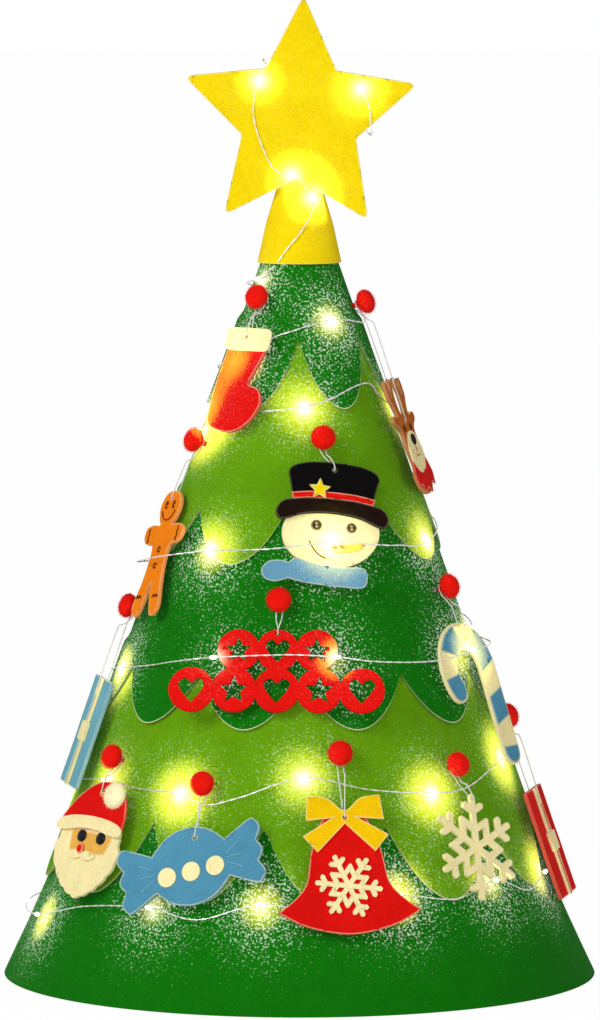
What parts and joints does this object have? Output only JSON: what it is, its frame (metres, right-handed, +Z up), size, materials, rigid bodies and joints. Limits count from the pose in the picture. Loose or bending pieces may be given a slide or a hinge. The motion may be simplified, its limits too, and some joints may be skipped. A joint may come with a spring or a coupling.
{
  "type": "felt christmas tree",
  "caption": "Table-top felt Christmas tree: a scalloped cone with a star topper, a string of lights and hanging felt ornaments.",
  "frame": {"origin": "middle of the hem, on the table", "axes": "+Z up the tree's axis, the front looks along -Y, +X to its right as seen from the front"},
  "size_m": [0.426, 0.426, 0.7],
  "materials": {
    "black_felt": "soft felt",
    "black_plastic": "moulded, satin",
    "blue_felt": "soft felt",
    "brown_felt": "soft felt",
    "cell_jacket": "plain jacket",
    "cream_felt": "soft felt",
    "dark_green_felt": "soft felt",
    "gingerbread_felt": "soft felt",
    "hook_and_loop": "hook and loop tape",
    "lime_felt": "soft felt",
    "red_felt": "soft felt",
    "silver_wire": "bare silver wire",
    "white_cord": "twisted cord",
    "yellow_felt": "soft felt"
  },
  "bodies": {
    "tree": {"base_cone": "dark_green_felt", "battery_case": "black_plastic", "bell_pompom": "red_felt", "blue_gift_pompom": "red_felt", "candy_cane_pompom": "red_felt", "candy_pompom": "red_felt", "cell_1": "cell_jacket", "cell_2": "cell_jacket", "garland_pompom": "red_felt", "gingerbread_pompom": "red_felt", "red_gift_pompom": "red_felt", "reindeer_pompom": "red_felt", "santa_pompom": "red_felt", "seam_hook_strip": "hook_and_loop", "seam_loop_strip": "hook_and_loop", "snowflake_pompom": "red_felt", "snowman_pompom": "red_felt", "stocking_pompom": "red_felt", "tier_1_dark": "dark_green_felt", "tier_2_lime": "lime_felt", "tier_3_dark": "dark_green_felt", "tier_4_lime": "lime_felt", "tree_lights": "silver_wire"},
    "stocking": {"stocking_cord": "white_cord", "stocking_cuff": "cream_felt", "stocking_sock": "red_felt"},
    "reindeer": {"reindeer_cord": "white_cord", "reindeer_head": "brown_felt"},
    "snowman": {"snowman_cord": "white_cord", "snowman_face": "cream_felt", "snowman_hat": "black_felt", "snowman_scarf": "blue_felt"},
    "gingerbread": {"gingerbread_cord": "white_cord", "gingerbread_man": "gingerbread_felt"},
    "blue_gift": {"blue_gift_cord": "white_cord", "blue_gift_parcel": "blue_felt", "blue_gift_ribbon": "cream_felt"},
    "garland": {"garland_cord": "white_cord", "garland_medallions": "red_felt"},
    "candy_cane": {"candy_cane_cord": "white_cord", "candy_cane_crook": "cream_felt"},
    "santa": {"santa_cord": "white_cord", "santa_face": "cream_felt", "santa_hat": "red_felt"},
    "candy": {"candy_cord": "white_cord", "candy_wrapper": "blue_felt"},
    "bell": {"bell_body": "red_felt", "bell_bow": "yellow_felt", "bell_cord": "white_cord", "bell_snowflake": "cream_felt"},
    "snowflake": {"snowflake_cord": "white_cord", "snowflake_plate": "cream_felt"},
    "red_gift": {"red_gift_cord": "white_cord", "red_gift_parcel": "red_felt", "red_gift_ribbon": "cream_felt"},
    "topper": {"topper_cap": "yellow_felt", "topper_star": "yellow_felt", "star_lights": "silver_wire"},
    "battery_door": {"battery_lid": "black_plastic"},
    "power_switch": {"switch_knob": "black_plastic"}
  },
  "joints": [
    {"name": "stocking_swing", "type": "hinge", "parent": "tree", "child": "stocking", "pos_m": [-0.02279, -0.02622, 0.4851], "axis": [-0.6188, -0.7119, 0.332], "range_deg": [-10, 10]},
    {"name": "reindeer_swing", "type": "hinge", "parent": "tree", "child": "reindeer", "pos_m": [0.03571, -0.0074, 0.4802], "axis": [0.9152, -0.2282, 0.332], "range_deg": [-10, 10]},
    {"name": "snowman_swing", "type": "hinge", "parent": "tree", "child": "snowman", "pos_m": [0.01432, -0.06736, 0.38815], "axis": [0.1961, -0.9227, 0.332], "range_deg": [-3, 3]},
    {"name": "gingerbread_swing", "type": "hinge", "parent": "tree", "child": "gingerbread", "pos_m": [-0.0646, -0.02876, 0.3829], "axis": [-0.8617, -0.3837, 0.332], "range_deg": [-1, 6]},
    {"name": "blue_gift_swing", "type": "hinge", "parent": "tree", "child": "blue_gift", "pos_m": [-0.11125, -0.01943, 0.26299], "axis": [-0.9227, -0.1961, 0.332], "range_deg": [-10, 10]},
    {"name": "garland_swing", "type": "hinge", "parent": "tree", "child": "garland", "pos_m": [-0.01335, -0.10717, 0.27699], "axis": [-0.0822, -0.9397, 0.332], "range_deg": [-3, 3]},
    {"name": "candy_cane_swing", "type": "hinge", "parent": "tree", "child": "candy_cane", "pos_m": [0.09644, -0.04631, 0.28], "axis": [0.7911, -0.5137, 0.332], "range_deg": [-5, 5]},
    {"name": "santa_swing", "type": "hinge", "parent": "tree", "child": "santa", "pos_m": [-0.12325, -0.08257, 0.1624], "axis": [-0.7331, -0.5936, 0.332], "range_deg": [-9, 9]},
    {"name": "candy_swing", "type": "hinge", "parent": "tree", "child": "candy", "pos_m": [-0.06318, -0.13863, 0.15099], "axis": [-0.3912, -0.8583, 0.332], "range_deg": [-9, 9]},
    {"name": "bell_swing", "type": "hinge", "parent": "tree", "child": "bell", "pos_m": [0.02636, -0.14222, 0.1729], "axis": [0.1719, -0.9275, 0.332], "range_deg": [-8, 8]},
    {"name": "snowflake_swing", "type": "hinge", "parent": "tree", "child": "snowflake", "pos_m": [0.10359, -0.1072, 0.1603], "axis": [0.6493, -0.6842, 0.332], "range_deg": [-9, 9]},
    {"name": "red_gift_swing", "type": "hinge", "parent": "tree", "child": "red_gift", "pos_m": [0.13845, -0.02422, 0.18452], "axis": [0.9227, -0.1961, 0.332], "range_deg": [-10, 10]},
    {"name": "topper_lift", "type": "slide", "parent": "tree", "child": "topper", "axis": [0, 0, 1], "range_m": [0, 0.1]},
    {"name": "battery_door_slide", "type": "slide", "parent": "tree", "child": "battery_door", "axis": [-0.2134, 0.2543, -0.9433], "range_m": [0, 0.035]},
    {"name": "power_switch_slide", "type": "slide", "parent": "tree", "child": "power_switch", "axis": [0.766, 0.6428, 0], "range_m": [0, 0.0035]}
  ]
}
